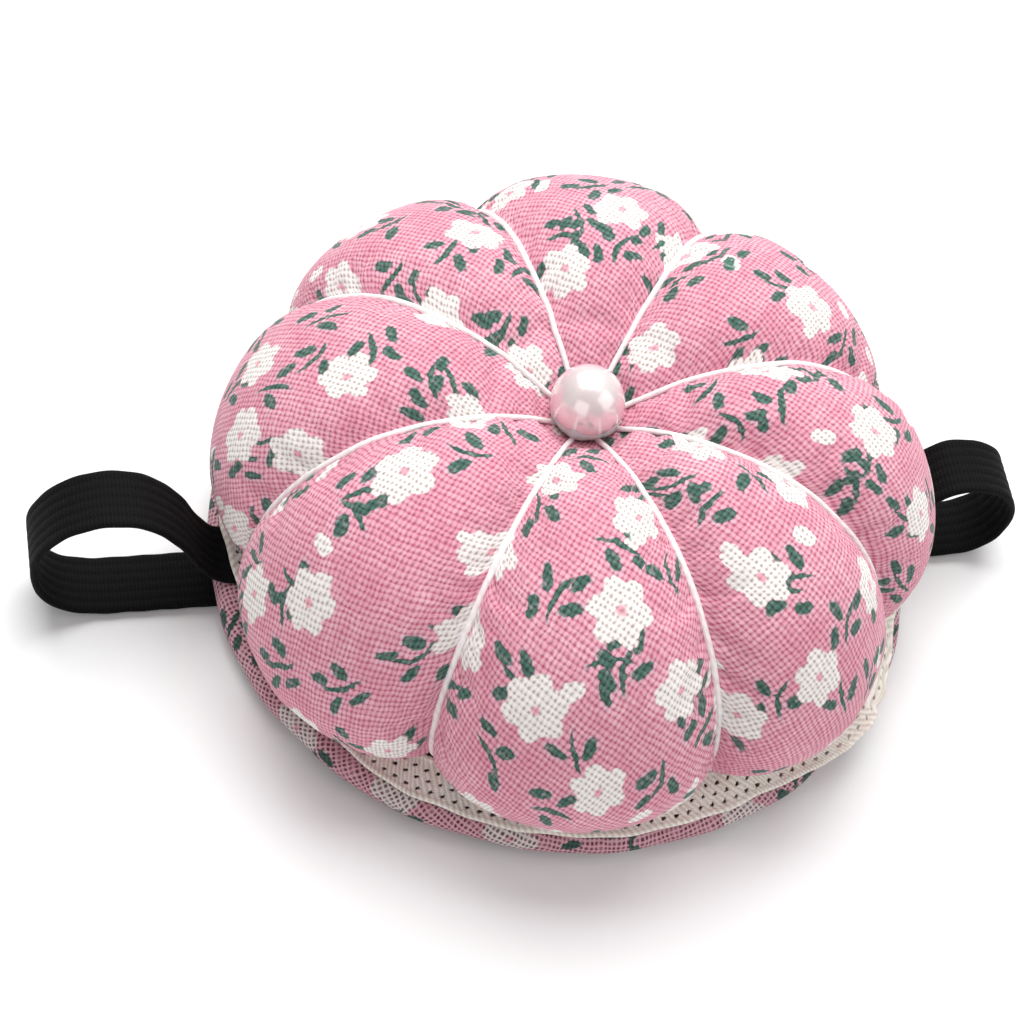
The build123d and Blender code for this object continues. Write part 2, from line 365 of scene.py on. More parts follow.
def weave(n, threads, open_to, open_from):
    """Plain weave: how high the cloth is, where its small square holes are, where one set of
    threads lies over the other, how thick the threads are, and the domes where they cross."""
    wx, wy = split(n, n.vector("MULTIPLY", threads, (pi / WARP_PITCH, pi / WEFT_PITCH, 0.0)))
    sx, sy = n.math("ABSOLUTE", n.math("SINE", wx)), n.math("ABSOLUTE", n.math("SINE", wy))
    over = n.math("MULTIPLY", n.math("COSINE", wx), n.math("COSINE", wy))
    gap = n.math("MAXIMUM", sx, sy)
    domes = n.step(n.math("MULTIPLY", sx, sy), 0.05, 0.85)
    hole = n.step(gap, open_to, open_from)
    weft = n.noise(n.vector("MULTIPLY", threads, (0.22, 1.8, 1)), 1.0, 2.0, 0.6).outputs[0]
    warp = n.noise(n.vector("MULTIPLY", threads, (1.8, 0.22, 1)), 1.0, 2.0, 0.6).outputs[0]
    slubs = n.math("ADD", weft, warp)
    threads_high = n.math("MULTIPLY_ADD", gap, 0.7, n.math("MULTIPLY", slubs, 0.3))
    height = n.math("MULTIPLY_ADD", over, 0.3, threads_high)
    return height, hole, over, slubs, domes


def printed_cotton(name, greyed=False):
    """Plain-woven pink cotton with a print of white blossoms and green sprigs. The cloth's UV map is in
    millimetres of flat cloth. The weave has painted shade between its crossings, where threads dip
    under and in its holes, and a painted highlight on the crossings.
    The wrap of the base is greyer, with more open holes painted darker."""
    n = Nodes(name)
    flat = n.add("ShaderNodeUVMap", uv_map="cloth").outputs[0]
    uv = n.vector("ADD", flat, BASE_CLOTH_SHIFT if greyed else (0.0, 0.0, 0.0))
    threads = shifted(n, uv, 0.7, 0.45)
    open_to, open_from = (0.97, 0.62) if greyed else (0.84, 0.34)
    height, hole, over, slubs, domes = weave(n, threads, open_to, open_from)

    # The ink partly follows whole threads, so its edges are a little stepped.
    cell = n.vector("SNAP", threads, (WARP_PITCH, WEFT_PITCH, 1.0))
    stepped = n.vector("ADD", cell, (WARP_PITCH / 2, WEFT_PITCH / 2, 0.0))
    smooth, jagged = n.vector("SCALE", threads, scale=0.66), n.vector("SCALE", stepped, scale=0.34)
    inked = shifted(n, n.vector("ADD", smooth, jagged), 1.6, 0.13)
    inked = shifted(n, inked, 0.22, 1.2, 1.0)
    blossom, eye, bud, green, fringe = print_masks(n, inked)

    worn = n.noise(uv, 1.3, 3.0, 0.6).outputs[0]
    cloud = n.noise(uv, 0.09, 3.0, 0.6).outputs[0]
    uneven = n.step(n.noise(uv, 0.8, 3.0, 0.7).outputs[0], 0.3, 0.6, 1.0, 0.45)
    hole = n.math("MULTIPLY", hole, uneven)
    pink = n.mix(n.step(cloud, 0.3, 0.72), srgb(219, 162, 177), srgb(229, 183, 194))
    pink = n.mix(n.step(slubs, 1.22, 0.78, 0.5), pink, srgb(203, 125, 146))
    pink = n.mix(n.step(worn, 0.58, 0.82, 0.6), pink, srgb(238, 202, 210))
    white = n.mix(n.step(slubs, 1.2, 0.8, 0.5), srgb(238, 233, 230), srgb(222, 217, 214))
    leaf = n.mix(n.step(worn, 0.35, 0.65), srgb(38, 92, 78), srgb(66, 118, 102))
    flower = n.mix(n.math("MULTIPLY", eye, 0.7), white, srgb(226, 120, 150))
    colour = n.mix(n.math("MULTIPLY", fringe, 0.42), pink, srgb(206, 186, 198))
    colour = n.mix(bud, colour, white)
    leaf_ink = n.math("MULTIPLY", green, n.step(worn, 0.78, 0.5, 0.95, 0.6))
    colour = n.mix(leaf_ink, colour, leaf)
    colour = n.mix(blossom, colour, flower)
    pale = n.math("MAXIMUM", blossom, bud)
    # Painted shade: threads that dip under the other set, and the low places between crossings, are
    # darkened. Each crossing gets a painted highlight.
    painted_under_shade = n.step(over, -0.7, 0.8, 1.0, 0.94)
    painted_valley_shade = n.mix(pale, (0.86, 0.66, 0.72), (0.90, 0.87, 0.86))
    colour = n.mix(1.0, colour, n.mix(domes, painted_valley_shade, (1.06, 1.06, 1.06)), "MULTIPLY")
    colour = n.mix(1.0, colour, join(n, painted_under_shade, painted_under_shade, painted_under_shade), "MULTIPLY")
    # The holes are painted darker: partly the dyed sides of the threads, partly painted shade from the
    # cushion's inside seen through them.
    shade = n.mix(pale, srgb(160, 66, 92), srgb(150, 130, 126))
    # The base's wrap: its holes get near-black painted shade from the board behind, and its cloth is
    # mixed greyer, with darker leaves.
    if greyed:
        shade = n.mix(0.85, shade, srgb(30, 22, 26))
        colour = n.mix(0.5, colour, n.mix(green, srgb(178, 146, 152), srgb(20, 28, 28)))
    shade = n.mix(green, shade, srgb(28, 62, 54))
    colour = n.mix(n.math("MULTIPLY", hole, 0.92 if greyed else 0.74), colour, shade)
    n.put(n.shader.inputs["Base Color"], colour)
    fibre_gloss(n, 0.9, 0.12, sheen=0.12)
    n.put(n.shader.inputs["Sheen Roughness"], 0.5)
    n.put(n.shader.inputs["Normal"], n.bump(height, 0.7, 0.00012))
    return n.material


def white_elastic():
    """Twisted white elastic, with fine fibres along it."""
    n = Nodes("white_elastic_thread")
    uv = n.add("ShaderNodeUVMap", uv_map="cloth").outputs[0]
    x, y = split(n, uv)
    ply = n.math("SINE", n.math("MULTIPLY_ADD", x, 4.5, n.math("MULTIPLY", y, 2.0)))
    fibre = n.noise(n.vector("MULTIPLY", uv, (0.8, 9.0, 1)), 1.0, 3.0, 0.6)
    shade = n.math("MULTIPLY_ADD", ply, 0.06, fibre.outputs[0])
    colour = n.mix(n.step(shade, 0.25, 0.7), srgb(226, 212, 214), srgb(250, 246, 245))
    n.put(n.shader.inputs["Base Color"], colour)
    fibre_gloss(n, 0.6, 0.2)
    n.put(n.shader.inputs["Subsurface Weight"], 0.08)
    n.put(n.shader.inputs["Subsurface Scale"], 0.0004)
    n.put(n.shader.inputs["Normal"], n.bump(shade, 0.5, 0.00012))
    return n.material


def cream_cotton():
    """Cream crochet cotton with a twist, a little mottled."""
    n = Nodes("cream_eyelet_tape")
    uv = n.add("ShaderNodeUVMap", uv_map="cloth").outputs[0]
    x, y = split(n, uv)
    twist = n.math("SINE", n.math("MULTIPLY_ADD", x, 8.5, n.math("MULTIPLY", y, 6.0)))
    fibre = n.noise(n.vector("MULTIPLY", uv, (1.4, 7.0, 1)), 1.2, 4.0, 0.65)
    mottle = n.noise(uv, 0.35, 2.0, 0.5)
    shade = n.math("MULTIPLY_ADD", twist, 0.16, fibre.outputs[0])
    colour = n.mix(n.step(shade, 0.25, 0.72), srgb(214, 204, 188), srgb(250, 246, 238))
    colour = n.mix(n.step(mottle.outputs[0], 0.35, 0.7, 0.3), colour, srgb(252, 250, 245))
    n.put(n.shader.inputs["Base Color"], colour)
    fibre_gloss(n, 0.92, 0.1, sheen=0.15)
    n.put(n.shader.inputs["Normal"], n.bump(shade, 0.8, 0.0002))
    return n.material


CHEVRON_WIDTH, CHEVRON_PITCH = 0.62, 0.42


def black_elastic():
    """Knitted black elastic: fine chevrons in each rib, with a dull, fibrous face."""
    n = Nodes("black_ribbed_elastic")
    uv = n.add("ShaderNodeUVMap", uv_map="cloth").outputs[0]
    x, y = split(n, uv)
    slant = n.math("ABSOLUTE", n.math("SINE", n.math("MULTIPLY", y, pi / CHEVRON_WIDTH)))
    along = n.math("MULTIPLY_ADD", x, 2 * pi / CHEVRON_PITCH, n.math("MULTIPLY", slant, 2.2))
    knit = n.math("SINE", along)
    fibre = n.noise(n.vector("MULTIPLY", uv, (1.5, 8.0, 1)), 1.5, 3.0, 0.6)
    shade = n.math("MULTIPLY_ADD", knit, 0.22, fibre.outputs[0])
    colour = n.mix(n.step(shade, 0.25, 0.8), srgb(2, 2, 2), srgb(14, 14, 15))
    n.put(n.shader.inputs["Base Color"], colour)
    fibre_gloss(n, 0.75, 0.12)
    n.put(n.shader.inputs["Normal"], n.bump(shade, 0.6, 0.00012))
    return n.material


def pearl():
    """Imitation pearl: a pearly coat over white plastic, with a painted rosy reflection of the pink
    cloth towards its edge.
    """
    n = Nodes("pearl_coat")
    place = n.add("ShaderNodeTexCoord").outputs["Object"]
    cloud = n.noise(place, 260.0, 3.0, 0.5).outputs[0]
    facing = n.add("ShaderNodeLayerWeight")
    facing.inputs["Blend"].default_value = 0.4
    body = n.mix(n.step(cloud, 0.35, 0.7), srgb(232, 216, 216), srgb(240, 230, 228))
    # Painted reflection: rosier towards the edge, standing in for the pink cloth mirrored in the pearl.
    colour = n.mix(n.step(facing.outputs["Facing"], 0.2, 0.95), body, srgb(246, 226, 230))
    n.put(n.shader.inputs["Base Color"], colour)
    n.put(n.shader.inputs["Roughness"], 0.22)
    n.put(n.shader.inputs["Metallic"], 0.35)
    n.put(n.shader.inputs["Coat Weight"], 1.0)
    n.put(n.shader.inputs["Coat Roughness"], 0.04)
    n.put(n.shader.inputs["Normal"], n.bump(cloud, 0.05, 0.0001))
    return n.material


def clear_glue():
    """Hot glue that has set clear, with a cloudy, rosy look over the pink cloth."""
    n = Nodes("clear_glue")
    place = n.add("ShaderNodeTexCoord").outputs["Object"]
    cloud = n.noise(place, 600.0, 3.0, 0.5).outputs[0]
    colour = n.mix(n.step(cloud, 0.3, 0.7), srgb(238, 206, 202), srgb(252, 236, 232))
    n.put(n.shader.inputs["Base Color"], colour)
    n.put(n.shader.inputs["Roughness"], 0.12)
    n.put(n.shader.inputs["IOR"], 1.45)
    n.put(n.shader.inputs["Subsurface Weight"], 0.6)
    n.put(n.shader.inputs["Subsurface Scale"], 0.0008)
    n.put(n.shader.inputs["Alpha"], n.step(cloud, 0.3, 0.75, 0.62, 0.9))
    n.put(n.shader.inputs["Normal"], n.bump(cloud, 0.3, 0.0002))
    return n.material


def plain(name, low, high, scale):
    """A simple mottled material for pieces that are shut away inside."""
    n = Nodes(name)
    place = n.add("ShaderNodeTexCoord").outputs["Object"]
    cloud = n.noise(place, scale, 4.0, 0.6)
    n.put(n.shader.inputs["Base Color"], n.mix(n.step(cloud.outputs[0], 0.3, 0.7), low, high))
    n.put(n.shader.inputs["Roughness"], 0.85)
    n.put(n.shader.inputs["Normal"], n.bump(cloud.outputs[0], 0.4, 0.0002))
    return n.material


def finish_cad(node, material):
    """Gives a CAD node its material."""
    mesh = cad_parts[node].data
    mesh.materials.clear()
    mesh.materials.append(material)


COTTON = printed_cotton("printed_cotton")
BASE_COTTON = printed_cotton("printed_cotton_base", greyed=True)
WHITE = white_elastic()
CREAM = cream_cotton()
BLACK = black_elastic()
GLUE = clear_glue()


# ---------------------------------------------------------------------------------------------
# Cushion
# ---------------------------------------------------------------------------------------------
def cushion():
    """The closed cushion before it is filled. Its UVs are the cloth's own, laid flat from the
    dimple outwards."""
    columns, angles = cushion_points()
    count = len(columns)
    mean = columns.mean(axis=0)
    run = np.concatenate([[0], np.cumsum(np.linalg.norm(np.diff(mean, axis=0), axis=1))]) + mean[0, 0]
    verts, uvs = [], []
    for i in range(ROWS):
        for c in range(count):
            r, z = columns[c, i]
            verts.append((r * cos(angles[c]) * MM, r * sin(angles[c]) * MM, z * MM))
            grain = angles[c] + CLOTH_TURN
            uvs.append((run[i] * cos(grain), run[i] * sin(grain)))
    faces = []
    for i in range(ROWS - 1):
        for c in range(count):
            d = (c + 1) % count
            faces.append((i * count + c, (i + 1) * count + c, (i + 1) * count + d, i * count + d))
    top, low = len(verts), len(verts) + 1
    verts += [(0, 0, (DIMPLE_Z - 0.1) * MM), (0, 0, FOOT_Z * MM)]
    uvs += [(0, 0), (0, 0)]
    last = (ROWS - 1) * count
    for c in range(count):
        d = (c + 1) % count
        faces.append((top, c, d))
        faces.append((low, last + d, last + c))
    piece = make_mesh("cushion", verts, faces, uvs)
    piece.data.materials.append(COTTON)
    return piece, count


SIM_SCALE = 10  # cloth simulation is steadier on a larger copy
SIM_FRAMES = 22
SIM_PRESSURE = 4.0
SIM_SPARE = 0.05  # share by which the cloth is larger than the form
SIM_LIMIT = 4.0  # millimetres that the cloth may move
HELD_TOP_ROWS = 5
HELD_FOOT_ROWS = 5


def stuff(piece, around):
    """Swells the cover as its filling does. The cloth is held along the eight threads, round
    the dimple and under the foot, and it is a little larger than the form it is stuffed to, so
    it bulges between the threads and puckers beside them."""
    work = piece.copy()
    work.data = piece.data.copy()
    bpy.context.scene.collection.objects.link(work)
    work.data.transform(Matrix.Scale(SIM_SCALE, 4))
    held = [i * around + k * COLUMNS for i in range(ROWS) for k in range(LOBES)]
    held += range(HELD_TOP_ROWS * around)
    held += range((ROWS - HELD_FOOT_ROWS) * around, len(work.data.vertices))
    work.vertex_groups.new(name="held").add(held, 1.0, "REPLACE")
    cloth = work.modifiers.new("cloth", "CLOTH")
    cloth.settings.quality = 6
    cloth.settings.mass = 0.2
    cloth.settings.tension_stiffness = 20
    cloth.settings.compression_stiffness = 12
    cloth.settings.shear_stiffness = 8
    cloth.settings.bending_stiffness = 0.35
    cloth.settings.vertex_group_mass = "held"
    cloth.settings.use_pressure = True
    cloth.settings.uniform_pressure_force = SIM_PRESSURE
    cloth.settings.shrink_min = -SIM_SPARE
    cloth.settings.effector_weights.gravity = 0
    cloth.point_cache.frame_end = SIM_FRAMES
    for step in range(1, SIM_FRAMES + 1):
        bpy.context.scene.frame_set(step)
    graph = bpy.context.evaluated_depsgraph_get()
    done = work.evaluated_get(graph).data
    blown, start = np.empty(len(done.vertices) * 3), np.empty(len(done.vertices) * 3)
    done.vertices.foreach_get("co", blown)
    piece.data.vertices.foreach_get("co", start)
    moved = (blown / SIM_SCALE - start).reshape(-1, 3)
    far = np.linalg.norm(moved, axis=1, keepdims=True) + 1e-12
    limit = SIM_LIMIT * MM
    settled = start.reshape(-1, 3) + moved / far * limit * np.tanh(far / limit)
    settled[:, 2] = np.maximum(settled[:, 2], FOOT_Z * MM)
    piece.data.vertices.foreach_set("co", settled.ravel())
    piece.data.update()
    bpy.data.objects.remove(work)
    bpy.context.scene.frame_set(1)


FILLING_GAP = 0.12


def clear_filling(piece):
    """Moves the cover out wherever it would lie inside the filling."""
    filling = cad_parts["fibre_filling"]
    corners = [filling.matrix_world @ v.co for v in filling.data.vertices]
    tree = BVHTree.FromPolygons(corners, [face.vertices[:] for face in filling.data.polygons])
    for v in piece.data.vertices:
        near, normal, _, _ = tree.find_nearest(v.co)
        if (v.co - near).dot(normal) < FILLING_GAP * MM:
            v.co = near + normal * FILLING_GAP * MM
    piece.data.update()


cushion_piece, AROUND = cushion()
stuff(cushion_piece, AROUND)
clear_filling(cushion_piece)


# ---------------------------------------------------------------------------------------------
# Threads
# ---------------------------------------------------------------------------------------------
def tube(name, centres, radii, sides=10):
    """A closed tube through the given points, in metres, with UVs in millimetres."""
    verts, uvs, faces = [], [], []
    up = None
    run = 0.0
    for i, centre in enumerate(centres):
        ahead = (centres[min(i + 1, len(centres) - 1)] - centres[max(i - 1, 0)]).normalized()
        if up is None:
            up = ahead.orthogonal().normalized()
        up = (up - ahead * up.dot(ahead)).normalized()
        side = ahead.cross(up)
        if i:
            run += (centre - centres[i - 1]).length / MM
        for s in range(sides):
            a = 2 * pi * s / sides
            verts.append(centre + (up * cos(a) + side * sin(a)) * radii[i])
            uvs.append((run, a))
    for i in range(len(centres) - 1):
        for s in range(sides):
            t = (s + 1) % sides
            faces.append((i * sides + s, i * sides + t, (i + 1) * sides + t, (i + 1) * sides + s))
    faces.append(tuple(reversed(range(sides))))
    faces.append(tuple(range((len(centres) - 1) * sides, len(centres) * sides)))
    return make_mesh(name, verts, faces, uvs)


THREAD_FIRST_ROW, THREAD_LAST_ROW = 3, ROWS - 6
THREAD_LIFT = 0.3  # of the thread's middle above the cloth
THREAD_RADIUS_AT_PEARL, THREAD_RADIUS = 0.29, 0.39
THREAD_TAPER_ROWS = 30
THREAD_SMOOTHINGS = 3


def segment_threads(cushion_mesh):
    """Each thread lies on the pinned line of cloth between two lobes, thinner at the pearl."""
    for k in range(LOBES):
        column = k * COLUMNS
        centres = []
        for i in range(THREAD_FIRST_ROW, THREAD_LAST_ROW):
            v = cushion_mesh.vertices[i * AROUND + column]
            centres.append(v.co + v.normal * THREAD_LIFT * MM)
        for _ in range(THREAD_SMOOTHINGS):
            inner = [(a + b * 2 + c) / 4 for a, b, c in zip(centres, centres[1:], centres[2:])]
            centres = centres[:1] + inner + centres[-1:]
        growth = THREAD_RADIUS - THREAD_RADIUS_AT_PEARL
        shares = [min(1.0, i / THREAD_TAPER_ROWS) for i in range(len(centres))]
        radii = [(THREAD_RADIUS_AT_PEARL + growth * share) * MM for share in shares]
        piece = tube(f"thread_{k + 1}", centres, radii)
        piece.data.materials.append(WHITE)
        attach(piece, "root")
        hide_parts(f"segment_thread_{k + 1}")


segment_threads(cushion_piece.data)
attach(cushion_piece, "root")
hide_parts("cushion_cover")


# ---------------------------------------------------------------------------------------------
# Base
# ---------------------------------------------------------------------------------------------
BASE_EDGE = 1.5
BASE_AROUND = 240
WRAP_OPENING = 27.0
WRAP_SINK = 0.22  # the turned-in edge goes down by this, twice
RIPPLE_FROM = 30
RIPPLE_INSET = 0.1  # half of the highest ripple
EDGE_ARC = np.linspace(-80, 80, 13)  # degrees round the disc's edge


def base_wrap():
    """The wrapped disc: a rounded edge, flat below, and turned in over the top."""
    edge, around = BASE_EDGE, BASE_AROUND
    middle = (BASE_TOP + BASE_LOW) / 2
    outline = [(0.0, BASE_LOW)]
    outline += [(r, BASE_LOW) for r in np.linspace(2, BASE_RADIUS - edge, 18)]
    half = (BASE_TOP - BASE_LOW) / 2
    for a in np.radians(EDGE_ARC):
        outline.append((BASE_RADIUS - edge + edge * cos(a), middle + half * sin(a)))
    outline += [(r, BASE_TOP) for r in np.linspace(BASE_RADIUS - edge - 0.2, WRAP_OPENING, 12)]
    outline += [(WRAP_OPENING - 0.6, BASE_TOP - WRAP_SINK), (WRAP_OPENING, BASE_TOP - 2 * WRAP_SINK)]
    run = [0.0]
    for a, b in zip(outline, outline[1:]):
        run.append(run[-1] + hypot(b[0] - a[0], b[1] - a[1]))
    verts, uvs, faces = [(0, 0, BASE_LOW * MM)], [(0, 0)], []
    for (r, z), s in zip(outline[1:], run[1:]):
        for c in range(around):
            a = 2 * pi * c / around
            ripple = 0.12 * sin(11 * a + 1.0) + 0.08 * sin(23 * a)
            rippled = r > RIPPLE_FROM and z > BASE_LOW + 0.1
            reach = r + (ripple if rippled else 0) - RIPPLE_INSET
            verts.append((reach * cos(a) * MM, reach * sin(a) * MM, z * MM))
            uvs.append((s * cos(a), s * sin(a)))
    for c in range(around):
        d = (c + 1) % around
        faces.append((0, 1 + d, 1 + c))
        for i in range(len(outline) - 2):
            p, q = 1 + i * around, 1 + (i + 1) * around
            faces.append((p + c, p + d, q + d, q + c))
    piece = make_mesh("base_wrap", verts, faces, uvs)
    piece.data.materials.append(BASE_COTTON)
    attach(piece, "root")
    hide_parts("base_cover")
    return piece


base_wrap()


# ---------------------------------------------------------------------------------------------
# Eyelet tape
# ---------------------------------------------------------------------------------------------
TAPE_WIDTH = 4.7
TAPE_THICKNESS = 0.32
TAPE_LIFT = 0.22
TAPE_CLEARANCE = 0.3
TAPE_HOLES = 168
HOLE_ROWS = (0.22, 0.45, 0.68)
HOLE_LONG, HOLE_WIDE = 0.17, 0.045  # shares of a hole's spacing and of the tape's width
HOLE_SLANT = 1.6
EDGE_ROLLS = ((0.20, 0.05), (0.18, 0.95))  # height of each rolled edge, and its place
ROLL_WIDTH = 0.08
BAND_UNDER_TAPE, BAND_HUMP = 6.6, 1.5  # half length and height of the rise over the band
TAPE_ROWS, TAPE_AROUND = 36, 1320
FOOT_HEIGHTS = np.linspace(6.0, 15.0, 19)
FOOT_SMOOTHING = range(-14, 15, 2)  # columns of the tape to each side
# At a direction in degrees: the radius of the tape's outer edge, its lean in degrees, and how
# much that edge lifts and frills.
TAPE_COURSE = (
    (20, 39.0, 35, 0.2),
    (160, 39.0, 35, 0.2),
    (184, 37.9, 16, 0.0),
    (200, 37.2, 6, 0.0),
    (216, 37.6, 8, 0.0),
    (236, 39.0, 20, 0.0),
    (294, 39.3, 24, 0.0),
    (304, 40.2, 30, 0.3),
    (311, 41.1, 42, 0.9),
    (318, 41.0, 46, 1.0),
    (326, 39.9, 50, 0.5),
    (334, 39.2, 50, 0.1),
    (342, 39.0, 45, 0.1),
)


def foot_radii(cushion_mesh):
    """The radius of the cushion at each of FOOT_HEIGHTS and each column of the tape. It is
    smoothed outwards, so that the tape bridges the grooves between lobes."""
    azimuths, radii = [], []
    for c in range(AROUND):
        line = [cushion_mesh.vertices[i * AROUND + c].co / MM for i in range(ROWS // 2, ROWS)]
        low = [v for v in line if v.z < FOOT_HEIGHTS[-1] + 1]
        azimuths.append(atan2(line[-1].y, line[-1].x) % (2 * pi))
        low.reverse()
        radii.append(np.interp(FOOT_HEIGHTS, [v.z for v in low], [hypot(v.x, v.y) for v in low]))
    order = np.argsort(azimuths)
    places = np.arange(TAPE_AROUND) * 2 * pi / TAPE_AROUND
    azimuths, radii = np.array(azimuths)[order], np.array(radii)[order]
    table = [np.interp(places, azimuths, level, period=2 * pi) for level in radii.T]
    smooth = np.mean([np.roll(table, d, axis=1) for d in FOOT_SMOOTHING], axis=0)
    return np.maximum(smooth, table)


def in_hole(across, round_share):
    """Whether a place is in one of the tape's slanted holes. Both numbers are shares: of the
    tape's width, from its outer edge, and of the way round."""
    for row, centre in enumerate(HOLE_ROWS):
        off = across - centre
        phase = (round_share * TAPE_HOLES + 0.5 * row - off * HOLE_SLANT) % 1.0 - 0.5
        if (phase / HOLE_LONG) ** 2 + (off / HOLE_WIDE) ** 2 < 1:
            return True
    return False


def lace(cushion_mesh):
    """Cotton tape round the cushion's foot. Its outer edge lies on the base's rim, and it leans
    up against the lobes. It has rolled edges and three rows of slanted holes. Over the band's
    two ends it rises."""
    rows, around = TAPE_ROWS, TAPE_AROUND
    feet = foot_radii(cushion_mesh)
    at, *courses = np.array(TAPE_COURSE, float).T
    verts, uvs = [], []
    for i in range(rows + 1):
        t = i / rows
        for c in range(around):
            a = 2 * pi * c / around
            rim, lean, frills = (np.interp(degrees(a), at, values, period=360) for values in courses)
            lean = radians(lean)
            wave = 0.16 * sin(7 * a + 0.6) + 0.10 * sin(19 * a) + 0.07 * sin(41 * a + 2.0)
            over_band = max(0.0, 1 - (abs(sin(a)) * rim / BAND_UNDER_TAPE) ** 2) ** 0.6
            roll = sum(high * max(0, 1 - abs(t - at_edge) / ROLL_WIDTH) for high, at_edge in EDGE_ROLLS)
            along = TAPE_WIDTH * t
            r = rim + wave - along * cos(lean) + roll * sin(lean)
            z = BASE_TOP + TAPE_LIFT + along * sin(lean) + roll * cos(lean)
            z += BAND_HUMP * over_band * (1 - t * 0.6)
            if z > FOOT_HEIGHTS[0]:
                r = max(r, np.interp(z, FOOT_HEIGHTS, feet[:, c]) + TAPE_CLEARANCE)
            frill = noise.noise((9 * cos(a), 9 * sin(a), 2.0))
            frill += 0.6 * noise.noise((31 * cos(a), 31 * sin(a), 5.0))
            r += 0.7 * frills * (1 - t) * frill
            z += frills * (0.9 * (1 - t) ** 2 + 0.9 * frill * (1 - 0.6 * t))
            verts.append((r * cos(a) * MM, r * sin(a) * MM, z * MM))
            uvs.append((a * rim, along))
    faces = []
    for i in range(rows):
        for c in range(around):
            if not in_hole((i + 0.5) / rows, (c + 0.5) / around):
                d = (c + 1) % around
                p, q = i * around, (i + 1) * around
                faces.append((p + c, p + d, q + d, q + c))
    piece = make_mesh("eyelet_tape", verts, faces, uvs)
    b = bmesh.new()
    b.from_mesh(piece.data)
    bmesh.ops.delete(b, geom=[v for v in b.verts if not v.link_faces], context="VERTS")
    b.to_mesh(piece.data)
    b.free()
    solid = piece.modifiers.new("thickness", "SOLIDIFY")
    solid.thickness = TAPE_THICKNESS * MM
    solid.offset = 0
    apply_modifiers(piece)
    piece.data.materials.append(CREAM)
    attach(piece, "root")
    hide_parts("lace_trim")


lace(cushion_piece.data)


# ---------------------------------------------------------------------------------------------
# Wrist band
# ---------------------------------------------------------------------------------------------
BAND_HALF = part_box("band_wrist_run")[1].y / MM
BAND_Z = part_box("band_wrist_run")[1].z / MM / 2
TAB_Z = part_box("band_left_loop")[0].z / MM + BAND_Z
LEFT_TURN = (-59.4, 9.0)
RIGHT_TURN = (52.2, 6.8)
LEFT_UPPER = (
    (-24, TAB_Z), (-32, TAB_Z), (-38.8, TAB_Z + 0.05), (-41.0, 7.4), (-43.5, 12.3), (-47.2, 16.1),
    (-51.6, 17.05), (-56.0, 15.4), (-58.6, 12.2), (-59.35, 10.1), LEFT_TURN,
)
LEFT_BEND = (
    LEFT_TURN, (-59.35, 7.4), (-58.7, 4.6), (-56.6, 1.9), (-53.2, 0.62), (-49.0, BAND_Z), (-44, BAND_Z),
)
RIGHT_UPPER = (
    (24, TAB_Z), (32, TAB_Z), (38.6, TAB_Z + 0.05), (40.4, 7.0), (41.9, 10.6), (44.4, 12.7),
    (47.6, 12.7), (50.8, 10.9), (52.0, 8.5), RIGHT_TURN,
)
RIGHT_BEND = (RIGHT_TURN, (51.9, 4.8), (50.6, 2.3), (48.2, 0.8), (44.8, BAND_Z), (41.0, BAND_Z))
RIBS, POINTS_IN_RIB = 6, 6
RIB_DEPTH = 0.30  # share of the thickness that is lost between ribs
SELVEDGE_FROM, SELVEDGE_THINNING = 0.9, 0.55
STRAP_HALF_THICKNESS = 0.42
STRAP_BACK_UV = 20  # moves the back's knit away from the front's
STRAP_SIDE_GAP, STRAP_WAVE = 0.05, 0.035


def strap(name, route, count):
    """A flat ribbed strap along a line in the XZ plane. Its ribs are raised cords in the weave."""
    line = smooth_line(route, count)
    across = np.linspace(-1, 1, RIBS * POINTS_IN_RIB + 1)
    profile = []
    for v in across:
        rib = abs(sin(pi * RIBS * (v + 1) / 2))
        into_edge = max(0.0, (abs(v) - SELVEDGE_FROM) / (1 - SELVEDGE_FROM))
        edge = 1 - SELVEDGE_THINNING * (1 - sqrt(max(0.0, 1 - into_edge ** 2)))
        profile.append((v, STRAP_HALF_THICKNESS * edge * (1 - RIB_DEPTH * (1 - rib ** 0.7))))
    ring = profile + [(v, -h) for v, h in reversed(profile)]
    verts, uvs, faces = [], [], []
    run = 0.0
    for i, (x, z) in enumerate(line):
        dx, dz = line[min(i + 1, count - 1)] - line[max(i - 1, 0)]
        length = hypot(dx, dz)
        nx, nz = -dz / length, dx / length
        if i:
            run += hypot(*(line[i] - line[i - 1]))
        for v, h in ring:
            wave = STRAP_WAVE * sin(run * 1.7 + 9 * v) * abs(v)
            side = v * (BAND_HALF - STRAP_SIDE_GAP + wave)
            verts.append(((x + nx * h) * MM, side * MM, (z + nz * h) * MM))
            uvs.append((run, v * BAND_HALF + (STRAP_BACK_UV if h < 0 else 0)))
    m = len(ring)
    for i in range(count - 1):
        for s in range(m):
            t = (s + 1) % m
            faces.append((i * m + s, (i + 1) * m + s, (i + 1) * m + t, i * m + t))
    faces.append(tuple(range(m)))
    faces.append(tuple(reversed(range((count - 1) * m, count * m))))
    piece = make_mesh(name, verts, faces, uvs)
    b = bmesh.new()
    b.from_mesh(piece.data)
    for face in b.faces:
        if len(face.verts) > 4:
            face.smooth = False
            for e in face.edges:
                e.smooth = False
    bmesh.ops.recalc_face_normals(b, faces=b.faces)
    b.to_mesh(piece.data)
    b.free()
    piece.data.materials.append(BLACK)
    return piece


